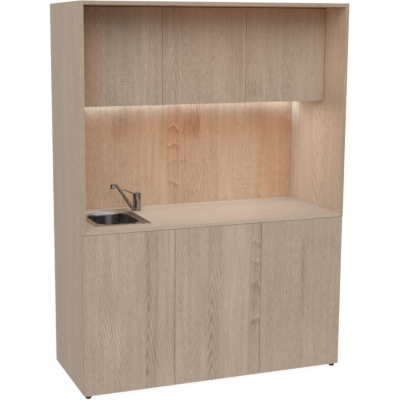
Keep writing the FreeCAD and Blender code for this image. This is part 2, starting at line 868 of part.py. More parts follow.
def lever_bar(root, tip):
    # A bar that tapers in width and in thickness, from the crossing of its side view and its plan.
    along = (tip - root).normalize()
    raised = Vector(-along.z, 0, along.x)

    def outline(side, root_size, tip_size):
        return [root - side * (root_size / 2), tip - side * (tip_size / 2),
                tip + side * (tip_size / 2), root + side * (root_size / 2)]

    side_view = prism([point - rearward * (lever_root_width / 2)
                       for point in outline(raised, lever_root_thickness, lever_tip_thickness)],
                      rearward * lever_root_width)
    plan = prism([point - raised * (lever_root_thickness / 2)
                  for point in outline(rearward, lever_root_width, lever_tip_width)],
                 raised * lever_root_thickness)
    bar = side_view.common(plan)
    long_edges = [edge for edge in bar.Edges if edge.Length > (tip - root).Length / 2]
    return bar.makeChamfer(lever_edge_bevel, long_edges)


os.makedirs("parts", exist_ok=True)
make_shelves()
make_panels()
make_feet()
make_doors()
make_latches()
make_light()
make_sink()
make_clips()
make_drain()
make_mixer_body()
make_spout()
make_lever()
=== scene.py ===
import json
import math

import bmesh
import bpy
from mathutils import Matrix, Vector


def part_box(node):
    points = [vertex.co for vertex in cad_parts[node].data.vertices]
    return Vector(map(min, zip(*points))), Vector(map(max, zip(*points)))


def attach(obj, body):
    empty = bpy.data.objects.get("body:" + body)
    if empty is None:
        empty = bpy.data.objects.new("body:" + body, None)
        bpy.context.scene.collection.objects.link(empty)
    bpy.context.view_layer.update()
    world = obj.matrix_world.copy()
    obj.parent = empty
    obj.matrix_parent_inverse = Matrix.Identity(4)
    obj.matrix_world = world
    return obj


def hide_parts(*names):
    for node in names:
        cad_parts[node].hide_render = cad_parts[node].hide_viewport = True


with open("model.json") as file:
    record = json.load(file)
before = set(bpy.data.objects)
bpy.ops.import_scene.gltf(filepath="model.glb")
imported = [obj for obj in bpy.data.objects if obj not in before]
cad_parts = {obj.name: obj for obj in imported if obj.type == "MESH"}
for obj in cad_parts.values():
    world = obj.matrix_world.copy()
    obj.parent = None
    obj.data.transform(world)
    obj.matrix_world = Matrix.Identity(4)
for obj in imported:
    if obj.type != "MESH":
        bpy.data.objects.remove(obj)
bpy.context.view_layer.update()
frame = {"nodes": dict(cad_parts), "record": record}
nodes = frame["nodes"]
bodyOf = {node: body for body, members in frame["record"]["behaviour"]["bodies"].items() for node in members}
mm = 0.001
white = (1.0, 1.0, 1.0, 1.0)
bayNames = ("left", "middle", "right")
doorPlaces = [(level, bay) for level in ("lower", "upper") for bay in bayNames]
print("frame loaded:", len(nodes), "nodes")


def middleOf(node):
    return sum(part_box(node), Vector()) / 2


# Node trees, with sums and products written as plain expressions
class Wire:
    def __init__(self, tree, socket):
        self.tree = tree
        self.socket = socket

    def math(self, operation, *values, clamp=False):
        settings = {"operation": operation, "use_clamp": clamp}
        return self.tree.node("ShaderNodeMath", settings, dict(enumerate(values)))

    def __add__(self, other):
        return self.math("ADD", self, other)

    def __sub__(self, other):
        return self.math("SUBTRACT", self, other)

    def __rsub__(self, other):
        return self.math("SUBTRACT", other, self)

    def __mul__(self, other):
        return self.math("MULTIPLY", self, other)

    def __truediv__(self, other):
        return self.math("DIVIDE", self, other)

    def __pow__(self, other):
        return self.math("POWER", self, other)

    __radd__ = __add__
    __rmul__ = __mul__

    def clamped(self):
        return self.math("ADD", self, 0.0, clamp=True)

    def wholePart(self):
        return self.math("FLOOR", self)

    def fraction(self):
        return self.math("FRACT", self)

    def above(self, low, high):
        # 0 below low, 1 above high, smooth between them
        settings = {"interpolation_type": "SMOOTHSTEP"}
        inputs = {"Value": self, "From Min": low, "From Max": high}
        return self.tree.node("ShaderNodeMapRange", settings, inputs)

    def between(self, low, high, soft):
        # 1 from low to high, 0 elsewhere, with soft ends
        return self.above(low - soft, low + soft) * (1 - self.above(high - soft, high + soft))


def mixed(shares, *wires):
    # The first share, plus each wire times its own share
    return sum((wire * share for wire, share in zip(wires, shares[1:])), shares[0])


class Tree:
    def __init__(self, nodeTree):
        self.nodeTree = nodeTree

    def fill(self, node, inputs):
        # Gives each named input of a node its wire or its value
        for key, value in inputs.items():
            if isinstance(value, Wire):
                self.nodeTree.links.new(value.socket, node.inputs[key])
            else:
                node.inputs[key].default_value = value

    def node(self, kind, settings=None, inputs=None, output=0):
        made = self.nodeTree.nodes.new(kind)
        for key, value in (settings or {}).items():
            setattr(made, key, value)
        self.fill(made, inputs or {})
        return Wire(self, made.outputs[output])

    def noise(self, point, scale, detail=2.0, roughness=0.5, *step):
        # From -0.5 to 0.5, or from 0 to 1 by a soft step; the scale is one number, or one for each axis
        if isinstance(scale, tuple):
            point = self.combine(*[axis * share for axis, share in zip(self.separate(point), scale)])
            scale = 1.0
        inputs = {"Vector": point, "Scale": scale, "Detail": detail, "Roughness": roughness}
        made = self.node("ShaderNodeTexNoise", {}, inputs)
        return made.above(*step) if step else made - 0.5

    def random(self, value):
        return self.node("ShaderNodeTexWhiteNoise", {"noise_dimensions": "1D"}, {"W": value})

    def combine(self, x, y, z=0.0):
        return self.node("ShaderNodeCombineXYZ", {}, {"X": x, "Y": y, "Z": z})

    def separate(self, vector):
        first = self.node("ShaderNodeSeparateXYZ", {}, {"Vector": vector})
        outputs = first.socket.node.outputs
        return [Wire(self, outputs[axis]) for axis in range(3)]

    def blend(self, factor, first, second, mode="MIX"):
        # Mixes two colours
        settings = {"data_type": "RGBA", "blend_type": mode, "clamp_factor": True}
        return self.node("ShaderNodeMix", settings, {0: factor, 6: first, 7: second}, output=2)

    def bump(self, height, strength, distance=0.2 * mm):
        inputs = {"Height": height, "Strength": strength, "Distance": distance}
        return self.node("ShaderNodeBump", {}, inputs)


def linear(red, green, blue):
    # A colour given as 0 to 255 on the screen
    values = [channel / 255 for channel in (red, green, blue)]
    return tuple((v / 12.92 if v <= 0.04045 else ((v + 0.055) / 1.055) ** 2.4) for v in values) + (1.0,)


def toned(colour, *shares):
    # The colour with its channels times one share, or each times its own
    shares = shares * 3 if len(shares) == 1 else shares
    return tuple(min(1.0, channel * share) for channel, share in zip(colour, shares)) + (1.0,)


finishes = {}


def finish(name, paint, **constants):
    # A material whose surface values come from paint(tree) and whose fixed values sit on the shader
    if name not in finishes:
        material = bpy.data.materials.new(name)
        material.use_nodes = True
        tree = Tree(material.node_tree)
        shader = material.node_tree.nodes["Principled BSDF"]
        tree.fill(shader, {key.replace("_", " "): value for key, value in constants.items()})
        tree.fill(shader, paint(tree))
        finishes[name] = material
    return finishes[name]


def objectPoint(tree):
    return tree.node("ShaderNodeTexCoord", {}, {}, output=3)


# Oak decor, on the boards' own map in metres: planks with growth rings, short wavy strokes, pores,
# pale saw marks and scallops
oakLook = {
    "light": linear(194, 180, 160), "mid": linear(171, 154, 136), "dark": linear(141, 118, 97),
    # The warm colour multiplies the decor where warm light and reddish shade are painted
    "pore": linear(118, 96, 77), "pale": linear(206, 193, 175), "paintedWarmLight": (1.1, 0.84, 0.7, 1.0),
    "midStep": (0.0, 0.54), "lightStep": (0.44, 1.0), "poreShare": 0.4, "bump": 0.35,
    "relief": 0.4 * mm, "specular": 0.32, "seeds": (0.0, 31.7, 77.3), "drift": 40.0,
    "ringWidth": 0.0165, "ringDarkest": 0.8, "ringMiddle": 0.45, "uneven": 0.034, "curlSway": 0.007,
}
# Noises: scale across and along the grain, detail, roughness, and for some the ends of a step
oakNoises = {
    "wander": (3.0, 1.8, 1.0, 0.5), "ripple": (22.0, 17.0, 2.0, 0.6), "uneven": (8.0, 2.2, 2.0, 0.5),
    "fine": (560.0, 46.0, 2.0, 0.6), "stroke": (210.0, 30.0, 2.0, 0.6), "cloud": (7.0, 2.1, 2.0, 0.5),
    "streak": (46.0, 2.6, 2.0, 0.55), "bold": (9.0, 1.9, 1.0, 0.5, 0.4, 0.66),
    "pores": (430.0, 32.0, 1.0, 0.5, 0.6, 0.74), "sawGroups": (9.0, 2.6, 0.0, 0.5, 0.66, 0.76),
}
# How far the slow wander and the quick ripple bend each form, in metres
oakSways = {"rings": (0.03, 0.008), "patchSides": (0.02, 0.012), "patchEnds": (0.0, 0.03),
            "strokes": (0.035, 0.006), "scallop": (0.42, 0.1)}
# What stands alone, then what goes with each part that the code names
oakShares = {
    "tone": (0.0, 0.8, 0.36, 0.3), "ring": (0.04, 0.62), "bold": (0.25, 0.75), "stroke": (0.48, 0.26),
    "streak": (0.7, -0.25), "pores": (0.25, 0.45, 0.5), "tip": (0.003, 0.01), "lean": (0.17, 0.1),
    "widths": (0.75, 0.7), "scallopDark": (0.1, 0.12), "scallopPale": (0.12, 0.16),
    "height": (0.0, 0.35, 0.25, -0.5, 0.3), "rough": (0.52, 0.12, 0.08),
}
# How soft the step between planks is for their number, tone, heart line, arches and curly strokes
plankSteps = (0.0005, 0.004, 0.0005, 0.012, 0.012)
randomPlank = {"width": 0.128, "swayScale": 9.0, "sway": 0.15, "tones": 0.18, "hearts": 1.6,
               "arches": 0.8, "archStep": (0.35, 1.0), "curls": 1.2, "seeds": (3.1, 12.9, 44.1)}
sawLook = {"step": 0.0145, "sway": 0.25, "breaks": ((13.0, 3.7), 2.0, 0.5, 0.42, 0.64),
           "rise": (0.55, 0.75), "fall": (0.78, 0.98), "strength": 0.32}
scallopLook = {"step": 0.13, "bow": 9.0, "edges": (0.0, 0.4, 0.47, 0.6), "seed": 5.3}
# Half width of a patch's soft edges, which are wider at its ends
patchSoft = {"usual": 0.006, "tone": 0.01, "scallop": 0.002, "endShare": 5}
# Layouts of the boards that show. Planks: left edge, tone, heart line, strength of the arches and of
# the curly strokes. Patches and areas of painted warm light: left, right, bottom, top, strength, and
# softness for the painted warm light, which stands in for the warm lamp light in the niche and the
# reddish shade under the top panel and at the ends of the upper doors. Saw marks and scallop: left,
# right, bottom, top. Eye: its place, half width, half height and reach, and what it adds to the rings
# and arches
layouts = {
    "lower": {
        "paintedWarmLight": [],
        "planks": [(-0.735, 0.0, -0.8, 0.1, 1.0), (-0.657, 0.0, -0.66, 0.7, 0.7),
                   (-0.54, 0.05, -0.3975, 0.2, 0.9), (-0.41, -0.08, -0.3975, 0.46, 0.5),
                   (-0.337, 0.09, -0.3975, 0.15, 0.2), (-0.243, 0.03, -0.25, 0.5, 0.7),
                   (-0.06, -0.07, -0.0345, 0.5, 0.4), (0.015, 0.09, -0.03, 0.2, 0.2),
                   (0.183, -0.1, 0.215, 0.1, 0.2), (0.249, -0.02, 0.42, 0.2, 1.3),
                   (0.513, 0.0, 0.75, 0.1, 0.8)],
        "patches": [(0.485, 0.511, 0.31, 0.73, -0.2), (0.49, 0.68, 0.708, 0.738, -0.13),
                    (-0.605, -0.515, 0.2, 0.86, 0.08), (0.02, 0.17, 0.4, 0.86, 0.07),
                    (-0.404, -0.386, 0.08, 0.83, -0.13), (-0.046, -0.026, 0.1, 0.54, -0.12)],
        "saw": [(0.383, 0.473, 0.41, 0.53), (-0.33, -0.255, 0.06, 0.16), (0.183, 0.247, 0.12, 0.25)],
        "scallop": (0.183, 0.249, 0.3, 0.8),
    },
    "upper": {
        "paintedWarmLight": [(-0.9, -0.585, 1.3, 2.1, 0.9, 0.055), (0.685, 0.9, 1.3, 1.98, 0.4, 0.03),
                 (-0.8, 0.8, 1.96, 2.2, 1.0, 0.022)],
        "planks": [(-0.716, 0.04, -0.9, 0.0, 1.3), (-0.551, -0.03, -0.9, 0.0, 1.5),
                   (-0.491, 0.0, -0.9, 0.05, 0.2), (-0.394, 0.06, -0.5, 0.1, 0.5),
                   (-0.231, -0.02, -0.18, 0.4, 0.3), (-0.124, 0.03, -0.4, 0.05, 1.6),
                   (0.124, -0.05, -0.3, 0.05, 0.2), (0.241, 0.0, 0.29, 0.5, 0.3),
                   (0.357, -0.03, 0.8, 0.05, 0.2), (0.454, -0.06, 0.8, 0.05, 1.5),
                   (0.537, 0.07, 0.9, 0.1, 0.6)],
        "patches": [(0.243, 0.34, 1.5, 1.59, -0.14)],
        "saw": [(-0.491, -0.39, 1.5, 1.79), (-0.23, -0.125, 1.7, 1.8), (0.243, 0.36, 1.83, 1.87),
                (0.54, 0.7, 1.86, 1.92)],
    },
    "niche": {
        "paintedWarmLight": [(-0.8, 0.8, 1.27, 1.36, 0.32, 0.01), (-0.9, -0.49, 0.6, 1.32, 0.3, 0.05),
                 (0.52, 0.9, 0.6, 1.32, 0.35, 0.05), (0.01, 0.14, 1.28, 1.4, 0.45, 0.02),
                 (-0.09, 0.02, 1.1, 1.45, 0.35, 0.022)],
        "planks": [(-0.716, 0.14, -0.4, 0.1, 1.1), (-0.364, 0.0, -0.335, 0.35, 0.9),
                   (-0.281, 0.07, -0.335, 0.1, 0.4), (-0.071, -0.1, -0.03, 0.0, 0.2),
                   (-0.003, 0.0, 0.085, 0.35, 0.6), (0.184, -0.04, 0.085, 0.1, 1.4),
                   (0.244, 0.06, 0.4, 0.05, 0.6), (0.484, 0.02, 0.9, 0.15, 1.1)],
        "patches": [(0.02, 0.13, 1.26, 1.39, -0.22), (-0.4, -0.32, 1.26, 1.4, -0.16),
                    (-0.36, -0.32, 1.08, 1.16, -0.14), (0.4, 0.52, 1.34, 1.46, -0.1)],
        "saw": [(0.244, 0.48, 0.88, 1.12)],
        "scallop": (-0.071, -0.003, 0.95, 1.44),
        "eye": (0.075, 1.116, 0.085, 0.034, 1.2, 4.5, 0.3),
    },
}


def laidPlanks(across, planks):
    # Number, tone, heart line, arches and curly strokes of the layout's plank at a place
    def perPlank(values, soft):
        total = across * 0.0 + values[0]
        for plank, before, after in zip(planks[1:], values, values[1:]):
            total = total + across.above(plank[0] - soft, plank[0] + soft) * (after - before)
        return total
    columns = [range(len(planks))] + list(zip(*planks))[1:]
    return [perPlank(values, soft) for values, soft in zip(columns, plankSteps)]


def randomPlanks(tree, across):
    # The same for planks of like width with wavy edges
    look = randomPlank
    swaySeed, archSeed, curlSeed = look["seeds"]
    sway = tree.noise(tree.combine(across, swaySeed), look["swayScale"], 0.0)
    plank = (across + sway * look["sway"]) / look["width"]
    number = plank.wholePart()
    chance = tree.random(number) - 0.5
    heart = across - (plank.fraction() - 0.5 + chance * look["hearts"]) * look["width"]
    arches = tree.random(number + archSeed).above(*look["archStep"]) * look["arches"]
    return number, chance * look["tones"], heart, arches, tree.random(number + curlSeed) * look["curls"]


def oakPaint(contrast, lift, layout, look):
    def paint(tree):
        across, along = tree.separate(tree.node("ShaderNodeUVMap", {"uv_map": "decor"}))[:2]
        planks = laidPlanks(across, layout["planks"]) if layout else randomPlanks(tree, across)
        number, plankTone, heart, arches, curl = planks
        first, second, third = [tree.random(number + seed) for seed in look["seeds"]]
        shift = along + second * look["drift"]

        def grain(name, point=across, offset=None):
            wide, tall, *rest = oakNoises[name]
            place = point * wide if offset is None else point * wide + offset
            return tree.noise(tree.combine(place, shift * tall), 1.0, *rest)

        # The grain wanders over a hand's length and over a finger's length
        wander, ripple = grain("wander", offset=first * 20.0), grain("ripple")

        def swayed(value, name):
            return mixed((value,) + oakSways[name], wander, ripple)

        def share(name, *parts):
            return mixed(oakShares[name], *parts)
        wavyAcross, wavyAlong = swayed(across, "patchSides"), swayed(along, "patchEnds")

        def patch(x0, x1, z0, z1, soft=patchSoft["usual"]):
            # 1 within a box with wavy edges
            ends = wavyAlong.between(z0, z1, soft * patchSoft["endShare"])
            return wavyAcross.between(x0, x1, soft) * ends

        # Growth rings: nested arches about the heart line, near straight away from it
        side, tip = swayed(across - heart, "rings"), share("tip", third)
        ring = side.math("SQRT", side * side + tip * tip) + shift * share("lean", third)
        ring = ring + grain("uneven") * look["uneven"]
        ring = ring / (look["ringWidth"] * share("widths", second))
        arches = arches * share("bold", grain("bold", offset=second * 5.0))
        if layout and "eye" in layout:
            x, z, wide, tall, reach, rings, strength = layout["eye"]
            far = across.math("SQRT", (across - x) ** 2.0 / wide ** 2 + (along - z) ** 2.0 / tall ** 2)
            near = 1 - far.above(0.0, reach)
            ring, arches = ring + near * rings, arches + near * strength
        band, darkest = ring.fraction(), look["ringDarkest"]
        band = band.above(0.0, darkest) - band.above(darkest, 1.0)

        # Short wavy strokes, longer streaks and pores
        bent = swayed(across, "strokes") + ripple * curl * look["curlSway"]
        fine, stroke, streak = [grain(name, bent) for name in ("fine", "stroke", "streak")]
        pores = grain("pores", bent) * share("pores", curl, band * arches)
        tone = share("tone", plankTone, fine, grain("cloud"))
        tone = tone + (band - look["ringMiddle"]) * share("ring", arches)
        tone = tone + stroke * share("stroke", curl) + streak * share("streak", curl)

        # Saw marks: faint pale lines across the grain, in groups
        row = along / sawLook["step"] + ripple * sawLook["sway"]
        broken = tree.noise(tree.combine(across, row.wholePart()), *sawLook["breaks"])
        line = row.fraction().above(*sawLook["rise"]) - row.fraction().above(*sawLook["fall"])
        if layout:
            group = sum(patch(*box) for box in layout["saw"])
            for *box, step in layout["patches"]:
                tone = tone + patch(*box, patchSoft["tone"]) * step
        else:
            group = grain("sawGroups", offset=third * 9.0)
        pale = line * group * broken * sawLook["strength"]
        if layout and "scallop" in layout:
            x0, x1, z0, z1 = layout["scallop"]
            bow = (across - x0) ** 2.0 * scallopLook["bow"]
            curve = swayed(along + bow, "scallop") / scallopLook["step"]
            arc, field = curve.fraction(), tree.random(curve.wholePart() + scallopLook["seed"])
            strip, edges = patch(x0, x1, z0, z1, patchSoft["scallop"]), scallopLook["edges"]
            rise, turn, fall = [arc.above(low, high) for low, high in zip(edges, edges[1:])]
            tone = tone - strip * (rise - turn) * share("scallopDark", field)
            pale = pale + strip * (turn - fall) * share("scallopPale", field)

        tone = (0.5 + contrast * tone + lift).clamped()
        colour = tree.blend(tone.above(*look["midStep"]), look["dark"], look["mid"])
        colour = tree.blend(tone.above(*look["lightStep"]), colour, look["light"])
        colour = tree.blend(pores * (look["poreShare"] * contrast), colour, look["pore"])
        colour = tree.blend(pale * contrast, colour, look["pale"])
        # Painted warm light: the decor turns warmer in the niche under its lamp and in the shade of the recess
        if layout and layout["paintedWarmLight"]:
            paintedWarmLight = sum(patch(*box, soft) * strength for *box, strength, soft in layout["paintedWarmLight"])
            colour = tree.blend(paintedWarmLight.clamped(), colour, tree.blend(1.0, colour, look["paintedWarmLight"], "MULTIPLY"))
        relief = tree.bump(share("height", stroke, fine, pores, pale), look["bump"], look["relief"])
        return {"Base Color": colour, "Roughness": share("rough", streak, pores), "Normal": relief}
    return paint


# Contrast, lift and tint of the decor by where it is used. Some tints paint light and shade: the
# niche's warm tint paints its warm lamp light, the upper doors' greyer tint takes out the red light
# that falls on them, the darker tints of the top and side panels' front edges paint the shade on
# them, and the pale tint of the edges at door gaps paints light into the shaded gaps
oakKinds = {
    "face": (1.0, 0.0, (1.0, 0.98, 0.96)), "edge": (0.6, 0.12, (1.0, 1.0, 1.0)),
    "paintedLitGapEdge": (0.5, 0.2, (1.34, 1.38, 1.42)), "shadedTopEdge": (0.8, 0.1, (0.72, 0.76, 0.75)),
    "shadedLeftEdge": (0.8, 0.1, (0.86, 0.88, 0.88)), "shadedRightEdge": (0.8, 0.1, (0.75, 0.75, 0.73)),
    "left": (1.0, -0.02, (0.98, 0.95, 0.92)), "right": (1.0, 0.06, (1.02, 1.0, 0.98)),
    "worktop": (0.75, 0.1, (0.89, 0.95, 1.04)), "lower": (1.0, -0.03, (0.98, 0.99, 1.02)),
    "upper": (1.2, -0.02, (0.835, 0.905, 0.935)), "niche": (1.15, -0.03, (1.0, 0.89, 0.8)),
}


def oakFinish(kind):
    contrast, lift, tint = oakKinds[kind]
    tinted = {name: toned(oakLook[name], *tint) for name in ("light", "mid", "dark", "pore", "pale")}
    paint = oakPaint(contrast, lift, layouts.get(kind), {**oakLook, **tinted})
    return finish("oak_" + kind, paint, Specular_IOR_Level=oakLook["specular"])


# Plain finishes: the noises of texture and cloud, what stands alone in the tone and what these two
# add to it and to the roughness, the darkest and brightest shares of the base, and the bump
plainLooks = {
    "metal": {"texture": (60.0, 3.0, 0.6), "cloud": (14.0, 2.0), "tone": (0.5, 0.22, 0.3),
              "rough": (0.12, 0.08), "ends": (0.72, 1.14), "bump": 0.1, "metallic": 1.0},
    "plastic": {"texture": (1400.0, 2.0, 0.6), "cloud": (22.0, 2.0), "tone": (0.5, 0.4, 0.9),
                "rough": (0.1, 0.06), "ends": (0.8, 1.12), "bump": 0.16, "metallic": 0.0},
    "board": {"texture": (260.0, 3.0, 0.7), "cloud": (5.0, 3.0, 0.6), "tone": (0.5, 0.5, 0.6),
              "rough": (0.1, 0.0), "bump": 0.12},
}
plainLooks["drawnMetal"] = {**plainLooks["metal"], "texture": ((12.0, 900.0, 900.0), 3.0, 0.6)}


def plainPaint(look, dark, bright, roughness):
    def paint(tree):
        texture, cloud = [tree.noise(objectPoint(tree), *look[part]) for part in ("texture", "cloud")]
        tone = mixed(look["tone"], texture, cloud).clamped()
        rough = mixed((roughness,) + look["rough"], texture, cloud)
        return {"Base Color": tree.blend(tone, dark, bright), "Roughness": rough,
                "Normal": tree.bump(texture, look["bump"])}
    return paint


def plain(kind, name, base, roughness):
    look = plainLooks[kind]
    dark, bright = [toned(base, share) for share in look["ends"]]
    return finish(name, plainPaint(look, dark, bright, roughness), Metallic=look["metallic"])


# Sink: drawn steel, with painted shade that darkens the bowl, a pale painted highlight streak in it,
# a painted bright reflection on the ledge behind it and a painted dark reflection, streaked like
# grooves, on its right side. Places are in metres, and a step is where something starts and where it
# is full
sinkLook = {
    "deck": (0.5, 0.49, 0.49, 1.0), "bowl": (0.4, 0.4, 0.42, 1.0), "streak": (0.56, 0.57, 0.6, 1.0),
    "reflectionDark": (0.24, 0.24, 0.25, 1.0), "reflectionBright": (0.7, 0.72, 0.77, 1.0), "lip": (0.862, 0.872),
    "ledgeStep": (0.118, 0.128), "ledgeReflectionFade": (-0.5, -0.38), "ledgeReflectionLoss": 0.65, "cloud": (14.0, 2.0),
    "highlightPlace": -0.472, "highlightHalf": 0.031, "highlightWaver": 0.01, "highlightShare": 0.25,
    "rightReflectionStep": (-0.405, -0.385), "hair": ((24.0, 620.0, 24.0), 3.0, 0.6),
    "wave": ((6.0, 70.0), 2.0, 0.6, 0.3, 0.7), "darkReflectionStreaks": ((70.0, 5.0), 2.0, 0.6, 0.35, 0.65),
    "rough": (0.22, 0.1, 0.06, 0.2, 0.22), "metal": (1.0, -0.75, -0.3), "bump": 0.1,
}


def sinkPaint(tree):
    look = sinkLook
    point = objectPoint(tree)
    x, y, z = tree.separate(point)
    hair, cloud, wave, darkReflectionStreaks = [tree.noise(point, *look[part]) for part in ("hair", "cloud", "wave", "darkReflectionStreaks")]
    inside = 1 - z.above(*look["lip"])
    # The pale streak down the bowl is a painted highlight
    offset = x.math("ABSOLUTE", x - look["highlightPlace"] + cloud * look["highlightWaver"])
    streak = (1 - offset.above(0.0, look["highlightHalf"])) * inside
    # The bright ledge behind the bowl is a painted reflection, weaker to the right
    ledgeReflection = y.above(*look["ledgeStep"]) * (1 - inside)
    ledgeReflection = ledgeReflection * (1 - x.above(*look["ledgeReflectionFade"]) * look["ledgeReflectionLoss"])
    # The deck's right side is darker, in streaks: painted dark reflection
    rightDarkReflection = x.above(*look["rightReflectionStep"]) * (1 - ledgeReflection)
    # Painted shade: the bowl is darker than the deck
    colour = tree.blend(inside, look["deck"], look["bowl"])
    colour = tree.blend(streak * look["highlightShare"], colour, look["streak"])
    colour = tree.blend(rightDarkReflection, colour, tree.blend(darkReflectionStreaks, look["reflectionDark"], look["deck"]))
    colour = tree.blend(ledgeReflection, colour, tree.blend(wave, look["reflectionDark"], look["reflectionBright"]))
    return {"Base Color": colour, "Metallic": mixed(look["metal"], ledgeReflection, streak),
            "Roughness": mixed(look["rough"], hair, cloud, ledgeReflection, rightDarkReflection),
            "Normal": tree.bump(hair, look["bump"])}


# Mixer: painted reflections, uneven dark and bright streaks between two tones; a painted dark
# reflection keeps the spout's head darker, over the bowl; the lever's darker tones paint the dark
# reflection of the wood above it
chromeLook = {
    "chrome": ((0.17, 0.165, 0.16, 1.0), (0.5, 0.48, 0.46, 1.0)),
    # The lever's darker tones paint the dark reflection of the wood above it
    "darkReflectionChrome": ((0.13, 0.12, 0.115, 1.0), (0.27, 0.255, 0.24, 1.0)),
    "reflectionStreaks": ((95.0, 95.0, 16.0), 2.0), "fine": (900.0, 2.0), "darkenedHeadStep": (0.02, 0.035),
    "tone": (0.5, 2.4, -0.55), "rough": (0.085, 0.05, 0.02),
}
headPlace = middleOf("mixer_aerator")


def chromePaint(kind):
    def paint(tree):
        x, y = tree.separate(objectPoint(tree))[:2]
        # The streaky noise paints reflections into the colour and also varies the roughness
        reflectionStreaks, fine = [tree.noise(objectPoint(tree), *chromeLook[part]) for part in ("reflectionStreaks", "fine")]
        aside, behind = x - headPlace.x, y - headPlace.y
        # Painted dark reflection: the chrome is darker round the spout's head
        darkenedHead = 1 - x.math("SQRT", aside * aside + behind * behind).above(*chromeLook["darkenedHeadStep"])
        colour = tree.blend(mixed(chromeLook["tone"], reflectionStreaks, darkenedHead).clamped(), *chromeLook[kind])
        return {"Base Color": colour, "Roughness": mixed(chromeLook["rough"], reflectionStreaks, fine)}
    return paint


lightStrip = {"chipStep": 16.7 * mm, "chipSize": (3.5 * mm, 2.8 * mm, 0.7 * mm), "bandEdge": 0.1 * mm,
              "between": (1.0, 0.62, 0.34, 1.0), "overChip": (1.0, 0.74, 0.47, 1.0), "roughness": 0.45,
              "strength": 2.5}


def glowPaint(tree):
    # Frosted cover, a little brighter over each light chip
    x = tree.separate(objectPoint(tree))[0]
    chip = (x / lightStrip["chipStep"]).fraction() - 0.5
    chip = 1.0 - chip.math("ABSOLUTE", chip) * 2.0
    colour = tree.blend(chip.clamped(), lightStrip["between"], lightStrip["overChip"])
    return {"Emission Color": colour, "Base Color": colour, "Roughness": lightStrip["roughness"]}


# Meshes
def newObject(name, mesh, *materials):
    piece = bpy.data.objects.new(name, mesh)
    bpy.context.scene.collection.objects.link(piece)
    for material in materials:
        mesh.materials.append(material)
    return piece


smoothAngle = math.radians(32.0)


def shade(mesh):
    for face in mesh.polygons:
        face.use_smooth = True
    mesh.set_sharp_from_angle(angle=smoothAngle)


def settled(holder):
    # The mesh that an object's modifiers make; the object goes
    graph = bpy.context.evaluated_depsgraph_get()
    mesh = bpy.data.meshes.new_from_object(holder.evaluated_get(graph))
    bpy.data.objects.remove(holder)
    return mesh


def place(piece, node, *others):
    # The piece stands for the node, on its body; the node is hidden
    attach(piece, bodyOf[node])
    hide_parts(node, *others)


# Merging distance, and angles in degrees that are flat enough to merge or sharp enough to round
softening = {"merge": 2e-6, "flat": 0.6, "sharp": 40.0, "segments": 2}


def softened(name, node, width, shortest=0.0, keepFront=None):
    # A copy of a node's mesh, merged, with its sharp edges rounded
    mesh = nodes[node].data.copy()
    mesh.materials.clear()
    mesh.name = name
    form = bmesh.new()
    form.from_mesh(mesh)
    bmesh.ops.remove_doubles(form, verts=form.verts, dist=softening["merge"])
    bmesh.ops.dissolve_limit(form, angle_limit=math.radians(softening["flat"]), verts=form.verts,
                             edges=form.edges)
    edges = []
    for edge in form.edges:
        if len(edge.link_faces) != 2 or edge.calc_length() < shortest:
            continue
        if keepFront is not None and min(vert.co.y for vert in edge.verts) < keepFront:
            continue
        if edge.calc_face_angle(0.0) > math.radians(softening["sharp"]):
            edges.append(edge)
    bmesh.ops.bevel(form, geom=edges, offset=width, offset_type="OFFSET", segments=softening["segments"],
                    profile=0.5, affect="EDGES", clamp_overlap=True)
    form.to_mesh(mesh)
    form.free()
    shade(mesh)
    # Weighted normals let large flat faces keep their own shading next to rounded edges
    holder = newObject(name, mesh)
    holder.modifiers.new("weights", "WEIGHTED_NORMAL").keep_sharp = True
    return settled(holder)


# How far the decor moves from board to board, across and along, and from face to face
decorShift = {"across": 1.37, "along": 0.71, "face": 0.31}


def mapDecor(mesh, grain, seed, gapEdges):
    # Lays the decor on each face in metres; edge faces take the second material, those at a door
    # gap the third, which is painted pale to stand in for light in the shaded gap
    size = [max(v.co[a] for v in mesh.vertices) - min(v.co[a] for v in mesh.vertices) for a in range(3)]
    thin = size.index(min(size))
    layer = mesh.uv_layers.new(name="decor")
    for face in mesh.polygons:
        facing = max(range(3), key=lambda a: abs(face.normal[a]))
        flat = [a for a in range(3) if a != facing]
        length = grain if grain in flat else max(flat, key=lambda a: size[a])
        width = flat[0] if flat[1] == length else flat[1]
        atGap = gapEdges and facing == 0 and abs(face.center.x) < boardEdge["outermostGap"]
        # Door faces at a gap take the pale edge finish: painted light in the shaded gap
        face.material_index = 0 if facing == thin else 2 if atGap else 1
        for loop in face.loop_indices:
            spot = mesh.vertices[mesh.loops[loop].vertex_index].co
            along = seed * decorShift["along"] + (facing - thin) * decorShift["face"]
            layer.data[loop].uv = (spot[width] + seed * decorShift["across"], spot[length] + along)


# Boards: axis of the grain, place in the decor (0 where a layout gives it), finish of the faces
# and of the edges
grainAxis = {"across": 0, "upright": 2}
boards = {
    # The side and top panels' edges take darker finishes: painted shade on their front edges
    "side_panel_left": ("upright", 1.0, "left", "shadedLeftEdge"),
    "side_panel_right": ("upright", 2.3, "right", "shadedRightEdge"),
    "top_panel": ("across", 3.1, "face", "shadedTopEdge"), "bottom_panel": ("across", 4.6, "face", "edge"),
    "upper_bottom_panel": ("across", 5.2, "face", "edge"), "worktop": ("across", 6.4, "worktop", "edge"),
    "niche_back_panel": ("upright", 0.0, "niche", "edge"),
}
partitions = {"lower_partition_left": 8.3, "lower_partition_right": 9.6, "upper_partition_left": 10.2,
              "upper_partition_right": 11.7}
shelves = {"lower_shelf_middle": 12.4, "lower_shelf_right": 13.8, "upper_shelf_left": 14.5,
           "upper_shelf_middle": 15.1, "upper_shelf_right": 16.9}
boards.update({node: ("upright", seed, "face", "paintedLitGapEdge") for node, seed in partitions.items()})
boards.update({node: ("across", seed, "face", "edge") for node, seed in shelves.items()})
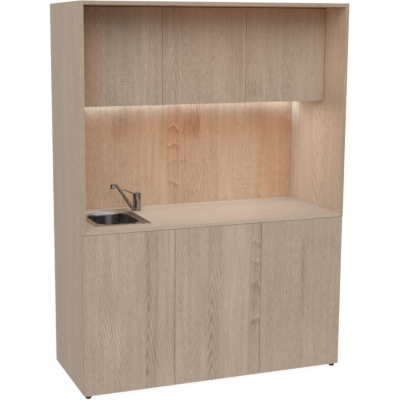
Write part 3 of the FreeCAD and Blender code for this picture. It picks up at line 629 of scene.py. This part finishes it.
boards.update({"%s_door_%s" % (level, bay): ("upright", 0.0, level, "edge") for level, bay in doorPlaces})
boardEdge = {"radius": 0.8 * mm, "shortest": 15 * mm, "outermostGap": 0.72, "sharpFront": 2 * mm}


def makeBoards():
    for node, (grain, seed, faceKind, edgeKind) in boards.items():
        isDoor = "_door_" in node
        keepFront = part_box(node)[0].y + boardEdge["sharpFront"] if isDoor else None
        mesh = softened(node + "_board", node, boardEdge["radius"], boardEdge["shortest"], keepFront)
        mapDecor(mesh, grainAxis[grain], seed, isDoor)
        materials = [oakFinish(kind) for kind in (faceKind, edgeKind, "paintedLitGapEdge")[:3 if isDoor else 2]]
        place(newObject(node + "_board", mesh, *materials), node)


makeBoards()
print("boards done")

# Finishes of the fittings
zinc = plain("metal", "bright_zinc", (0.6, 0.6, 0.62), 0.34)
nickel = plain("metal", "nickel_steel", (0.62, 0.61, 0.58), 0.26)
steel = finish("sink_steel", sinkPaint)
chrome = finish("mixer_chrome", chromePaint("chrome"), Metallic=1.0)
darkReflectionChrome = finish("lever_chrome", chromePaint("darkReflectionChrome"), Metallic=1.0)
whitePlastic = plain("plastic", "white_plastic", (0.78, 0.78, 0.76), 0.42)
greyPlastic = plain("plastic", "grey_plastic", (0.3, 0.3, 0.31), 0.48)
blackPlastic = plain("plastic", "black_plastic", (0.018, 0.018, 0.019), 0.46)
brass = plain("metal", "plain_brass", (0.72, 0.54, 0.26), 0.32)
aluminium = plain("drawnMetal", "satin_aluminium", (0.72, 0.72, 0.74), 0.36)
boardPaint = plainPaint(plainLooks["board"], linear(205, 201, 193), linear(232, 230, 225), 0.62)
whiteBoard = finish("white_board", boardPaint)
glow = finish("lit_diffuser", glowPaint, Emission_Strength=lightStrip["strength"])
chipGlow = plain("plastic", "light_chip", (0.85, 0.72, 0.3), 0.3)
print("finishes done")

# Fittings that keep their solid's form, with rounded edges: finish and edge radius in mm
softFittings = {
    "shelf_pins": (zinc, 0.4), "foot_sockets": (greyPlastic, 0.3), "hinge_arms": (nickel, 0.3),
    "hinge_plates": (nickel, 0.35), "latch_housings": (greyPlastic, 0.5), "light_profile": (aluminium, 0.2),
    "light_diffuser": (glow, 0.2), "sink_clips": (zinc, 0.3), "drain_fitting": (steel, 0.25),
    "mixer_base_ring": (chrome, 0.6), "mixer_body": (chrome, 0.35), "mixer_spout": (chrome, 0.5),
    "mixer_aerator": (chrome, 0.35), "mixer_carrier": (chrome, 0.35), "mixer_lever": (darkReflectionChrome, 0.35),
    "mixer_fixing_nut": (brass, 0.6), "sink_basin": (steel, 0.0), "rear_board": (whiteBoard, 0.4),
}
softFittings.update({"latch_plunger_" + bay: (greyPlastic, 1.0) for bay in bayNames})
softFittings.update({"hinge_cups_%s_%s" % door: (nickel, 0.25) for door in doorPlaces})
for node, (material, radius) in softFittings.items():
    place(newObject(node + "_form", softened(node + "_form", node, radius * mm), material), node)
print("soft fittings done")


# Small meshes that the detail trees repeat
def ringOf(radius, height, segments):
    turns = [2 * math.pi * step / segments for step in range(segments)]
    return [(radius * math.cos(turn), radius * math.sin(turn), height) for turn in turns]


def closeForm(name, form):
    bmesh.ops.recalc_face_normals(form, faces=form.faces)
    mesh = bpy.data.meshes.new(name)
    form.to_mesh(mesh)
    form.free()
    shade(mesh)
    return mesh


def joinLoops(form, lower, upper):
    # Faces between two loops of points, of which one may be a single point, repeated
    for corners in zip(lower, lower[1:] + lower[:1], upper[1:] + upper[:1], upper):
        corners = list(dict.fromkeys(corners))
        if len(corners) > 2:
            form.faces.new(corners)


def lathe(name, outline, segments=48, closed=False):
    # Turns an outline of (radius, height) points in mm about the Z axis
    form = bmesh.new()
    rings = []
    for radius, height in outline:
        spots = ringOf(radius * mm, height * mm, segments) if radius else [(0, 0, height * mm)]
        rings.append([form.verts.new(spot) for spot in spots] * (1 if radius else segments))
    for inner, outer in zip(rings, rings[1:] + (rings[:1] if closed else [])):
        joinLoops(form, inner, outer)
    return closeForm(name, form)


# Heads: width and height of each ring as shares of the whole, and how far the recess narrows
headShape = {"rings": ((1.0, 0.0), (1.0, 0.55), (0.93, 0.88), (0.8, 1.0)), "floor": 0.8}
screw = {"radius": 3.4 * mm, "height": 1.3 * mm, "cross": 0.62, "slot": 0.16, "depth": 0.9 * mm,
         "segments": 24}


def crossHead(name, radius, height, cross, slot, depth, segments):
    # A round head with a cross recess; cross and slot are shares of the radius
    form = bmesh.new()

    def loopOf(spots):
        return [form.verts.new(spot) for spot in spots]

    rings = [loopOf(ringOf(radius * wide, height * rise, segments)) for wide, rise in headShape["rings"]]
    for lower, upper in zip(rings, rings[1:]):
        joinLoops(form, lower, upper)
    form.faces.new(list(reversed(rings[0])))
    reach, half, narrow = radius * cross, radius * slot, headShape["floor"]
    arm = [(reach, -half), (reach, half), (half, half)]
    plus = [(x * c - y * s, x * s + y * c) for c, s in ((1, 0), (0, 1), (-1, 0), (0, -1)) for x, y in arm]
    mouth = loopOf((x, y, height) for x, y in plus)
    floor = loopOf((x * narrow, y * narrow, height - depth) for x, y in plus)
    rim = [form.edges.get(pair) for pair in zip(rings[-1], rings[-1][1:] + rings[-1][:1])]
    lip = [form.edges.new(pair) for pair in zip(mouth, mouth[1:] + mouth[:1])]
    bmesh.ops.triangle_fill(form, use_beauty=True, edges=rim + lip)
    joinLoops(form, mouth, floor)
    form.faces.new(floor)
    return closeForm(name, form)


# Geometry Nodes trees for what repeats
def growingTree(name, inputs, spread):
    # Copies of a piece on points, with a finish; spread(tree, value) gives what goes on which points
    group = bpy.data.node_groups.new(name, "GeometryNodeTree")
    inputs = {"Points": "Geometry", **inputs, "Finish": "Material"}
    for label, kind in inputs.items():
        group.interface.new_socket(name=label, in_out="INPUT", socket_type="NodeSocket" + kind)
    group.interface.new_socket(name="Mesh", in_out="OUTPUT", socket_type="NodeSocketGeometry")
    tree = Tree(group)
    entry = group.nodes.new("NodeGroupInput")
    value = {label: Wire(tree, entry.outputs[label]) for label in inputs}
    placed = tree.node("GeometryNodeInstanceOnPoints", {}, spread(tree, value))
    real = tree.node("GeometryNodeRealizeInstances", {}, {"Geometry": placed})
    dressed = tree.node("GeometryNodeSetMaterial", {}, {"Geometry": real, "Material": value["Finish"]})
    tree.fill(group.nodes.new("NodeGroupOutput"), {"Mesh": dressed})
    return group


def onPoints(tree, value):
    # One piece on every point, its Z axis along the point's "facing"
    piece = tree.node("GeometryNodeObjectInfo", {}, {"Object": value["Piece"]}, output="Geometry")
    facing = tree.node("GeometryNodeInputNamedAttribute", {"data_type": "FLOAT_VECTOR"}, {"Name": "facing"})
    turn = tree.node("FunctionNodeAlignRotationToVector", {"axis": "Z"}, {"Vector": facing})
    return {"Points": value["Points"], "Instance": piece, "Rotation": turn}


def inRow(tree, value):
    # Small blocks in a straight row
    line = tree.node("GeometryNodeMeshLine", {"mode": "OFFSET"},
                     {"Count": value["Count"], "Start Location": value["Start"], "Offset": value["Step"]})
    return {"Points": line, "Instance": tree.node("GeometryNodeMeshCube", {}, {"Size": value["Size"]})}


def inRing(tree, value):
    # Ribs round an upright axis
    circle = tree.node("GeometryNodeMeshCircle", {}, {"Vertices": value["Count"], "Radius": value["Radius"]})
    outward = tree.node("GeometryNodeInputPosition", {}, {})
    turn = tree.node("FunctionNodeAlignRotationToVector", {"axis": "X"}, {"Vector": outward})
    rib = tree.node("GeometryNodeMeshCube", {}, {"Size": value["Size"]})
    return {"Points": circle, "Instance": rib, "Rotation": turn}


trees = {
    "place": growingTree("place on points", {"Piece": "Object"}, onPoints),
    "row": growingTree("row", {"Count": "Int", "Start": "Vector", "Step": "Vector", "Size": "Vector"}, inRow),
    "ring": growingTree("ring of ribs", {"Count": "Int", "Radius": "Float", "Size": "Vector"}, inRing),
}


def grown(name, kind, values, points=None):
    # Runs a tree once and returns the mesh that it makes
    holder = newObject(name, points or bpy.data.meshes.new(name))
    modifier = holder.modifiers.new("nodes", "NODES")
    modifier.node_group = trees[kind]
    for item in trees[kind].interface.items_tree:
        if item.in_out == "INPUT" and item.name in values:
            modifier[item.identifier] = values[item.name]
    mesh = settled(holder)
    shade(mesh)
    return mesh


def repeated(name, piece, spots, material):
    # One mesh of copies of piece: spots holds (place, facing)
    points = bpy.data.meshes.new(name)
    points.from_pydata([spot for spot, facing in spots], [], [])
    layer = points.attributes.new("facing", "FLOAT_VECTOR", "POINT")
    for item, (spot, facing) in zip(layer.data, spots):
        item.vector = facing
    source = newObject(name + "_source", piece)
    mesh = grown(name, "place", {"Piece": source, "Finish": material}, points)
    bpy.data.objects.remove(source)
    return mesh


def islands(node):
    # The lowest and highest corners of each separate solid of a node
    form = bmesh.new()
    form.from_mesh(nodes[node].data)
    bmesh.ops.remove_doubles(form, verts=form.verts, dist=1e-6)
    waiting = set(form.verts)
    found = []
    while waiting:
        front = [waiting.pop()]
        low, high = front[0].co.copy(), front[0].co.copy()
        while front:
            vert = front.pop()
            low = Vector(map(min, low, vert.co))
            high = Vector(map(max, high, vert.co))
            for edge in vert.link_edges:
                other = edge.other_vert(vert)
                if other in waiting:
                    waiting.discard(other)
                    front.append(other)
        found.append((low, high))
    form.free()
    return sorted(found, key=lambda box: tuple(round(c, 4) for c in box[0]))


def extra(name, mesh, node):
    # A piece that adds to a node and moves with it
    piece = newObject(name, mesh)
    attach(piece, bodyOf[node])


def addTurned(name, node, outline, spot, material, segments=48, closed=False):
    # A turned piece that stands for a node, with the foot of its axis at spot
    mesh = lathe(name, outline, segments, closed)
    mesh.transform(Matrix.Translation(spot))
    place(newObject(name, mesh, material), node)


def addRibs(name, node, where, material, count, size, radius):
    # A ring of ribs that moves with a node
    mesh = grown(name, "ring", {"Count": count, "Radius": radius, "Size": size, "Finish": material})
    mesh.transform(where)
    extra(name, mesh, node)


# Cams: discs with a cross recess, flush with the panels that hold them
camLook = {"cross": 0.6, "slot": 0.14, "depth": 2.2 * mm, "segments": 32}


def makeCams():
    spots = []
    for low, high in islands("cam_fittings"):
        centre = (low + high) / 2
        radius, height = (high.x - low.x) / 2, high.z - low.z
        facesUp = any(abs(high.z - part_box(panel)[1].z) < mm for panel in ("top_panel", "upper_bottom_panel"))
        spots.append(((centre.x, centre.y, low.z if facesUp else high.z), (0, 0, 1 if facesUp else -1)))
    piece = crossHead("cam", radius, height, **camLook)
    place(newObject("cams", repeated("cams", piece, spots, zinc)), "cam_fittings")


# Screws of the hinges, the latches and the sink clips. Those of a plate stand out from the panel,
# back and up. The plates beyond one place in x hang on the right panel, and one latch is turned
screwPlaces = {
    "plate": ((2 * mm, 0, -22 * mm), (2 * mm, 0, 22 * mm), (12 * mm, 2 * mm, 0), (12 * mm, 18 * mm, 0)),
    "ear": 23 * mm, "latchInset": 8 * mm, "clipInset": 6 * mm, "rightPanelFrom": 0.5, "turnedLatch": 2,
}


def plateSpots(index, low, high, middle):
    inward = -1 if middle.x > screwPlaces["rightPanelFrom"] else 1
    wall = low.x if inward > 0 else high.x
    return [((wall + inward * out, middle.y + back, middle.z + rise), (inward, 0, 0))
            for out, back, rise in screwPlaces["plate"]]


def earSpots(index, low, high, middle):
    # The links, which are lower than a cup with its ears, have none
    ear = screwPlaces["ear"]
    rises = (-ear, ear) if high.z - low.z > 2 * ear else ()
    return [((middle.x, high.y, middle.z + rise), (0, 1, 0)) for rise in rises]


def latchSpots(index, low, high, middle):
    inward, face = (1, high.x) if index == screwPlaces["turnedLatch"] else (-1, low.x)
    return [((face, high.y - screwPlaces["latchInset"], middle.z), (inward, 0, 0))]


def clipSpots(index, low, high, middle):
    atFront, inset = middle.y < middleOf("sink_basin").y, screwPlaces["clipInset"]
    return [((middle.x, low.y + inset if atFront else high.y - inset, low.z), (0, 0, -1))]


def addScrews(name, node, spotsOf):
    # spotsOf gives (place, facing) of the screws on each separate solid of the node
    spots = []
    for index, (low, high) in enumerate(islands(node)):
        spots += spotsOf(index, low, high, (low + high) / 2)
    extra(name, repeated(name, crossHead("screw", **screw), spots, zinc), node)


makeCams()
addScrews("plate_screws", "hinge_plates", plateSpots)
for level, bay in doorPlaces:
    cups = "hinge_cups_%s_%s" % (level, bay)
    addScrews(cups + "_screws", cups, earSpots)
addScrews("latch_screws", "latch_housings", latchSpots)
addScrews("clip_screws", "sink_clips", clipSpots)
print("cams and screws done")


# Light chips along the strip
def makeLightStrip():
    low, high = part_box("light_strip")
    step, size = lightStrip["chipStep"], lightStrip["chipSize"]
    count = int((high.x - low.x) / step)
    start = (-(count - 1) * step / 2, (low.y + high.y) / 2, low.z - size[2] / 2)
    mesh = grown("light_chips", "row", {"Count": count, "Start": start, "Step": (step, 0, 0), "Size": size,
                                        "Finish": chipGlow})
    extra("light_chips", mesh, "light_strip")
    band = softened("light_band", "light_strip", lightStrip["bandEdge"])
    place(newObject("light_band", band, whitePlastic), "light_strip")


# Ribbed feet
footLook = {"ribs": {"count": 30, "size": (1.3 * mm, 1.5 * mm, 11 * mm), "radius": 15.3 * mm},
            "ribHeight": 10.6 * mm, "segments": 40,
            "outline": [(0, 0), (12.1, 0), (12.5, 0.4), (15.1, 3.7), (15.4, 4.5), (15.4, 16.9),
                        (14.8, 17.7), (4.0, 17.7), (4.0, 30.6), (3.6, 31.0), (0, 31.0)]}


def makeFeet():
    for end in ("front", "rear"):
        for side in ("left", "right"):
            node = "foot_%s_%s" % (end, side)
            base = middleOf(node)
            base.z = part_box(node)[0].z
            addTurned(node + "_body", node, footLook["outline"], base, blackPlastic, footLook["segments"])
            where = Matrix.Translation(base + Vector((0, 0, footLook["ribHeight"])))
            addRibs(node + "_ribs", node, where, blackPlastic, **footLook["ribs"])


# Drain: ribbed nuts, and holes in the strainer
trapRib = {"count": 26, "size": (1.6 * mm, 2.0 * mm, 17 * mm)}
drainLook = {
    "nutBore": 23.75, "nutOuter": 30.6,
    "nutLobes": {"count": 12, "size": (4.8 * mm, 9 * mm, 8 * mm), "radius": 30.4 * mm},
    "socketRibs": {**trapRib, "radius": 28.6 * mm}, "socketDrop": 11 * mm,
    "outletRibs": {**trapRib, "radius": 26 * mm}, "outletReach": 41 * mm, "trapEdge": 0.8 * mm,
    "seat": 6 * mm, "holeRows": ((8, 10.5), (14, 15.5)), "holeHeight": 2.0,
    "hole": [(0, -0.4), (1.7, -0.4), (1.7, 0.04), (0, 0.04)], "holeSegments": 16,
    "strainer": [(0, -6.0), (16.6, -6.0), (17.5, -5.2), (17.5, 0), (21.0, 0), (21.5, 0.5), (21.3, 1.4),
                 (20.2, 2.0), (6.6, 2.0), (5.4, 2.6), (4.3, 4.0), (3.9, 6.4), (4.3, 8.2), (5.0, 9.2),
                 (5.0, 10.2), (4.4, 10.8), (3.4, 11.0), (0, 11.0)],
}


def makeDrain():
    look = drainLook
    axis = middleOf("drain_fitting")

    def onAxis(height):
        return Vector((axis.x, axis.y, height))

    low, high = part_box("drain_nut")
    bore, outer, tall = look["nutBore"], look["nutOuter"], (high.z - low.z) / mm
    outline = [(bore, 0), (outer, 0), (outer, tall), (bore, tall)]
    addTurned("nut_body", "drain_nut", outline, onAxis(low.z), whitePlastic, closed=True)
    halfway = Matrix.Translation(onAxis((low.z + high.z) / 2))
    addRibs("nut_lobes", "drain_nut", halfway, whitePlastic, **look["nutLobes"])

    seat = onAxis(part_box("drain_strainer")[0].z + look["seat"])
    addTurned("strainer_plug", "drain_strainer", look["strainer"], seat, steel)
    spots = []
    for count, radius in look["holeRows"]:
        for spot in ringOf(radius, look["holeHeight"], count):
            spots.append((seat + Vector(spot) * mm, (0, 0, 1)))
    hole = lathe("hole", look["hole"], look["holeSegments"])
    extra("strainer_holes", repeated("strainer_holes", hole, spots, blackPlastic), "drain_strainer")

    trap = softened("trap_form", "drain_trap", look["trapEdge"])
    place(newObject("trap_form", trap, whitePlastic), "drain_trap")
    collar = Matrix.Translation(onAxis(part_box("drain_trap")[1].z - look["socketDrop"]))
    addRibs("socket_ribs", "drain_trap", collar, whitePlastic, **look["socketRibs"])
    outletZ = frame["record"]["mounts"][-1]["pos_m"][2]
    outlet = Matrix.Translation((axis.x, axis.y + look["outletReach"], outletZ))
    lying = outlet @ Matrix.Rotation(math.radians(90), 4, "X")
    addRibs("outlet_ribs", "drain_trap", lying, whitePlastic, **look["outletRibs"])


makeLightStrip()
makeFeet()
makeDrain()
print("strip, feet and drain done")


# Studio: pale floor, an even white surround, a warm bounce from the floor, and lamps
studio = {"sky": (0.45, 0.446, 0.44, 1.0), "bounce": (0.31, 0.275, 0.245, 1.0), "floorSize": 30.0,
          "floorTone": linear(246, 246, 246), "floorGlow": 0.95, "floorRoughness": 0.9}
# Lamps: place, target, size (none for a sun), the width in degrees of a beam or of a sun's soft
# shadows, and the power in red, green and blue
lamps = {
    "high": ((-1.1, -4.2, 4.6), (0.0, 0.0, 1.0), None, 50.0, (2.41, 2.41, 2.41)),
    "niche": ((0.0, -0.06, 1.47), (0.0, -0.06, 0.9), (1.2, 0.34), 180.0, (3.5, 2.94, 2.58)),
    "strip": ((0.0, 0.248, 1.4665), (0.0, 0.248, 0.9), (1.4, 0.012), 180.0, (0.68, 0.9, 1.12)),
    "wall": ((0.15, 0.03, 1.08), (0.735, 0.21, 1.01), (0.4, 0.4), 70.0, (0.18, 0.17, 0.18)),
    "wallTop": ((0.45, 0.14, 1.458), (0.735, 0.16, 1.42), (0.1, 0.012), 110.0, (0.085, 0.092, 0.096)),
    "stripEnd": ((0.6, 0.2, 1.43), (0.735, 0.262, 1.4), (0.05, 0.06), 80.0, (0.016, 0.021, 0.024)),
    "recessWall": ((0.1, -0.6, 1.66), (0.735, -0.2, 1.66), (0.1, 0.3), 26.0, (0.036, 0.032, 0.029)),
    "recessBeam": ((-1.1, -2.3, 0.9), (0.25, -0.1, 1.86), (1.0, 0.5), 34.0, (1.0, 0.3, 0.1)),
    "side": ((-3.7, -1.0, 1.3), (0.0, 0.0, 1.1), None, 24.0, (0.8, 0.8, 0.8)),
    "rear": ((1.6, 4.0, 3.4), (0.0, 0.0, 1.0), None, 50.0, (1.2, 1.2, 1.2)),
}


def plainRay(tree):
    # 1 for rays from the camera, then 1 for those and for what metal and glass throw on
    seen = tree.node("ShaderNodeLightPath", {}, {}, output="Is Camera Ray")
    outputs = seen.socket.node.outputs
    glossy = Wire(tree, outputs["Is Glossy Ray"])
    through = Wire(tree, outputs["Is Transmission Ray"])
    return seen, seen.math("MAXIMUM", seen, glossy.math("MAXIMUM", glossy, through))


def makeWorld():
    world = bpy.data.worlds.new("studio")
    bpy.context.scene.world = world
    world.use_nodes = True
    tree = Tree(world.node_tree)
    colour = tree.blend(plainRay(tree)[1], studio["sky"], white)
    tree.fill(world.node_tree.nodes["Background"], {"Color": colour})


def makeFloor():
    # The camera sees a pale floor; what it throws back onto the unit is warmer
    half = studio["floorSize"] / 2
    corners = [(-half, -half, 0), (half, -half, 0), (half, half, 0), (-half, half, 0)]
    mesh = bpy.data.meshes.new("floor")
    mesh.from_pydata(corners, [], [(0, 1, 2, 3)])
    material = finish("pale_floor", lambda tree: {}, Base_Color=studio["floorTone"],
                      Roughness=studio["floorRoughness"])
    tree = Tree(material.node_tree)
    parts = material.node_tree.nodes
    surface = Wire(tree, parts["Principled BSDF"].outputs[0])
    seen, plainest = plainRay(tree)
    colour = tree.blend(plainest, studio["bounce"], white)
    glow = tree.node("ShaderNodeEmission", {}, {"Color": colour, "Strength": 1.0})
    share = 1.0 - seen * (1.0 - studio["floorGlow"])
    mixed = tree.node("ShaderNodeMixShader", {}, {0: share, 1: surface, 2: glow})
    tree.fill(parts["Material Output"], {"Surface": mixed})
    newObject("floor", mesh, material)


def makeLamp(name, spot, target, size, spread, power):
    lamp = bpy.data.lights.new(name, "AREA" if size else "SUN")
    if size:
        lamp.shape = "RECTANGLE"
        lamp.size, lamp.size_y = size
        lamp.spread = math.radians(spread)
    else:
        lamp.angle = math.radians(spread)
    strongest = max(power)
    lamp.energy = strongest
    lamp.color = [channel / strongest for channel in power]
    holder = bpy.data.objects.new(name, lamp)
    bpy.context.scene.collection.objects.link(holder)
    holder.location = spot
    facing = (Vector(target) - Vector(spot)).normalized()
    holder.rotation_euler = facing.to_track_quat("-Z", "Y").to_euler()
    holder.visible_camera = False
    holder.visible_glossy = False


# The camera, from the edges of the unit in the photo; lengths in pixels are of its 400-pixel frame
shot = {"turn": -20.02, "rise": 9.37, "place": (-1.9329, -4.704, 1.8532), "focusPixels": 941.3,
        "axisPixel": (160.0, 187.0), "framePixels": 400.0, "sensor": 36.0}


def makeCamera():
    turn, rise = math.radians(shot["turn"]), math.radians(shot["rise"])
    back = Vector((math.sin(turn) * math.cos(rise), -math.cos(turn) * math.cos(rise), math.sin(rise)))
    right = Vector((math.cos(turn), math.sin(turn), 0))
    up = back.cross(right)
    lens = bpy.data.cameras.new("camera")
    half = shot["framePixels"] / 2
    lens.sensor_width = shot["sensor"]
    lens.lens = shot["focusPixels"] / shot["framePixels"] * shot["sensor"]
    lens.shift_x = (half - shot["axisPixel"][0]) / shot["framePixels"]
    lens.shift_y = (shot["axisPixel"][1] - half) / shot["framePixels"]
    camera = bpy.data.objects.new("camera", lens)
    bpy.context.scene.collection.objects.link(camera)
    camera.matrix_world = Matrix.Translation(shot["place"]) @ Matrix((right, up, back)).transposed().to_4x4()
    bpy.context.scene.camera = camera


makeWorld()
makeFloor()
for name, lamp in lamps.items():
    makeLamp(name, *lamp)
makeCamera()
bpy.context.scene.view_settings.view_transform = "Standard"
print("studio done")
